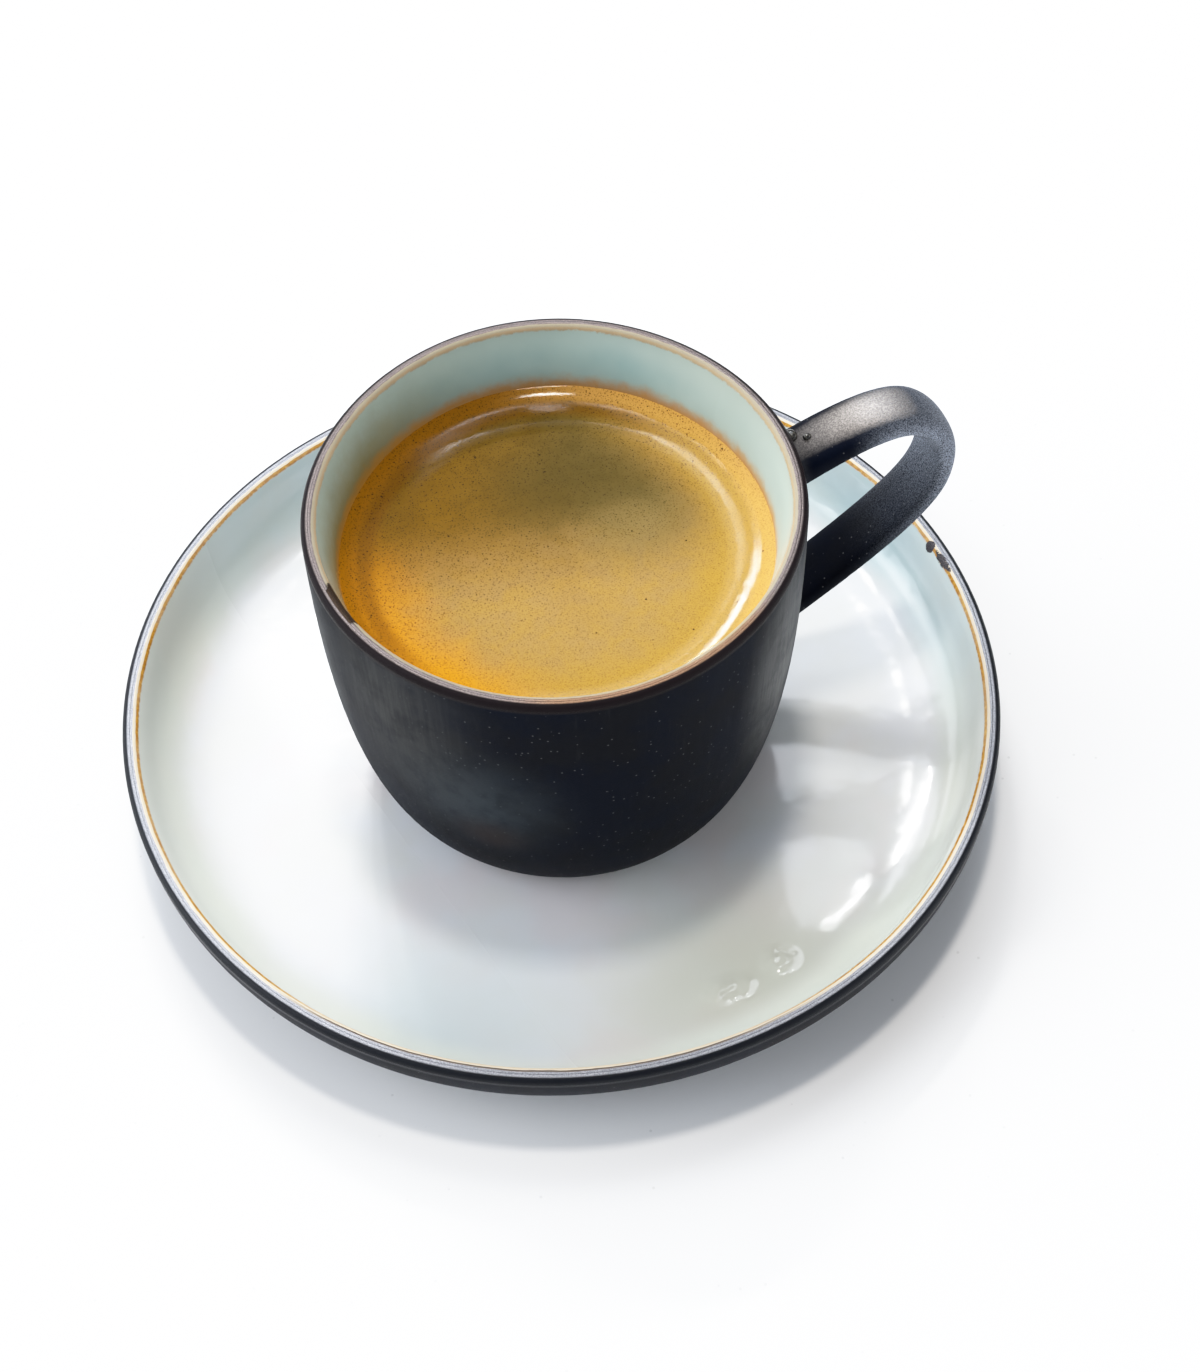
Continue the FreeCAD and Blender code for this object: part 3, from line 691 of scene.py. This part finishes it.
# ---------------------------------------------------------------------- stage
FLOOR_HALF = 3.0
FOCAL_LENGTH = 65.6
SENSOR_WIDTH = 36.0
CAMERA_DISTANCE = 0.4332
CAMERA_AIM = Vector((4.84, -7.54, 25.0)) * MM
LAMP_AIM = Vector((CUP_LIP.x, CUP_LIP.y, CUP_FOOT)) * MM


def add_floor():
    """A plain pale table top with a few grey specks."""
    m = Shader("table_top")
    grit, tint = m.cells(3.4)
    chance = m.add("SeparateColor", {0: tint})
    speck = grit.rise(0.10, 0.05) * chance.rise(0.62, 0.72)
    cloud = m.noise(60, detail=3)
    tone = m.mix(cloud, (0.81, 0.81, 0.81), (0.83, 0.83, 0.83))
    tone = m.mix(speck * 0.35, tone, (0.45, 0.45, 0.44))
    material = m.finish(Base_Color=tone, Roughness=0.55, IOR=1.45)
    mesh = bpy.data.meshes.new("table_top")
    corners = [(x * FLOOR_HALF, y * FLOOR_HALF, 0) for x, y in ((-1, -1), (1, -1), (1, 1), (-1, 1))]
    mesh.from_pydata(corners, [], [(0, 1, 2, 3)])
    mesh.materials.append(material)
    floor = bpy.data.objects.new("table_top", mesh)
    bpy.context.scene.collection.objects.link(floor)


def toward(azimuth, elevation):
    """A direction: azimuth in degrees from +Y towards +X, elevation above level."""
    a, e = radians(azimuth), radians(elevation)
    return Vector((sin(a) * cos(e), cos(a) * cos(e), sin(e)))


def add_lamp(name, azimuth, elevation, distance, width, height, power, tint=(1, 1, 1)):
    """An area lamp that faces the cup's foot; metres, degrees and watts."""
    light = bpy.data.lights.new(name, "AREA")
    light.shape = "RECTANGLE"
    light.size, light.size_y = width, height
    light.energy = power
    light.color = tint
    lamp = bpy.data.objects.new(name, light)
    direction = toward(azimuth, elevation)
    lamp.location = LAMP_AIM + direction * distance
    lamp.rotation_euler = direction.to_track_quat("Z", "Y").to_euler()
    bpy.context.scene.collection.objects.link(lamp)


def add_world():
    """Soft room light: a faint even grey with broad bright patches that fade out."""
    world = bpy.data.worlds.new("studio")
    world.use_nodes = True
    tree = world.node_tree
    background = tree.nodes["Background"]
    direction = tree.nodes.new("ShaderNodeTexCoord").outputs["Generated"]

    def node(kind, **settings):
        made = tree.nodes.new("ShaderNode" + kind)
        for key, value in settings.items():
            setattr(made, key, value)
        return made

    def plus(first, second):
        total = node("Math", operation="ADD")
        for socket, value in zip(total.inputs, (first, second)):
            if isinstance(value, float):
                socket.default_value = value
            else:
                tree.links.new(value, socket)
        return total.outputs[0]

    def glow(azimuth, elevation, spread, core, strength):
        """A round patch: full up to core degrees from its middle, nothing from spread on."""
        dot = node("VectorMath", operation="DOT_PRODUCT")
        tree.links.new(direction, dot.inputs[0])
        dot.inputs[1].default_value = toward(azimuth, elevation)
        fade = node("MapRange", interpolation_type="SMOOTHSTEP")
        tree.links.new(dot.outputs["Value"], fade.inputs["Value"])
        for name, value in (("From Min", cos(radians(spread))), ("From Max", cos(radians(core))),
                            ("To Min", 0.0), ("To Max", strength)):
            fade.inputs[name].default_value = value
        return fade.outputs["Result"]

    # Each patch: azimuth, elevation, spread, core, strength.
    total = 0.12
    for patch in ((19, 50, 22, 14.3, 4.2), (19, 74, 46, 11.5, 0.16), (-26, 30, 36, 9, 2.5),
                  (-72, 28, 32, 8, 6.0), (-116, 25, 40, 10, 0.7), (199, 25, 40, 10, 0.5),
                  (118, 10, 40, 10, 2.6)):
        total = plus(total, glow(*patch))
    background.inputs["Color"].default_value = (0.93, 0.98, 1.05, 1.0)
    tree.links.new(total, background.inputs["Strength"])
    bpy.context.scene.world = world


def add_lights():
    """One lamp overhead for the shadow; the rest are seen as reflections."""
    warm = (1.05, 0.99, 0.92)
    add_lamp("overhead", 19, 85, 1.2, 0.11, 0.11, 5.5, warm)
    add_lamp("spot_saucer", 18.3, 52.3, 1.5, 0.08, 0.03, 0.5)
    spots = (("spot_right", -3, 59), ("spot_top", 5, 65), ("spot_left", 28, 64))
    for name, azimuth, elevation in spots:
        add_lamp(name, azimuth, elevation, 1.5, 0.11, 0.035, 0.35)
    row = (("row_1", 0, 46), ("row_2", 6, 47), ("row_3", 10.5, 46.5), ("row_4", 14, 46))
    for name, azimuth, elevation in row:
        add_lamp(name, azimuth, elevation, 1.5, 0.05, 0.03, 1.7)


def add_camera():
    """The viewing angle: turn is the azimuth that it looks along, rise is how steeply down."""
    turn, rise, roll = radians(19.0), radians(52.8), radians(-2.385)
    back = Vector((-cos(rise) * sin(turn), -cos(rise) * cos(turn), sin(rise)))
    level_right = Vector((cos(turn), -sin(turn), 0.0))
    level_up = back.cross(level_right)
    right = cos(roll) * level_right + sin(roll) * level_up
    up = -sin(roll) * level_right + cos(roll) * level_up
    lens = bpy.data.cameras.new("camera")
    lens.lens = FOCAL_LENGTH
    lens.sensor_width = SENSOR_WIDTH
    lens.clip_start = 0.01
    lens.clip_end = 50.0
    camera = bpy.data.objects.new("camera", lens)
    place = CAMERA_AIM + back * CAMERA_DISTANCE
    turned = Matrix((right, up, back)).transposed().to_4x4()
    camera.matrix_world = Matrix.Translation(place) @ turned
    bpy.context.scene.collection.objects.link(camera)
    bpy.context.scene.camera = camera


def set_exposure_curve():
    """Straight in the shadows, with a soft shoulder where the whites roll off."""
    view = bpy.context.scene.view_settings
    view.view_transform = "Standard"
    view.use_curve_mapping = True
    mapping = view.curve_mapping
    white = 1.8
    mapping.white_level = (white, white, white)
    curve = mapping.curves[3]  # the one for all three colours together
    for light, shown in ((0.25, 0.25), (0.5, 0.5), (0.75, 0.70), (1.0, 0.855), (1.3, 0.96)):
        curve.points.new(light / white, shown)
    mapping.update()


add_floor()
add_world()
add_lights()
add_camera()
set_exposure_curve()
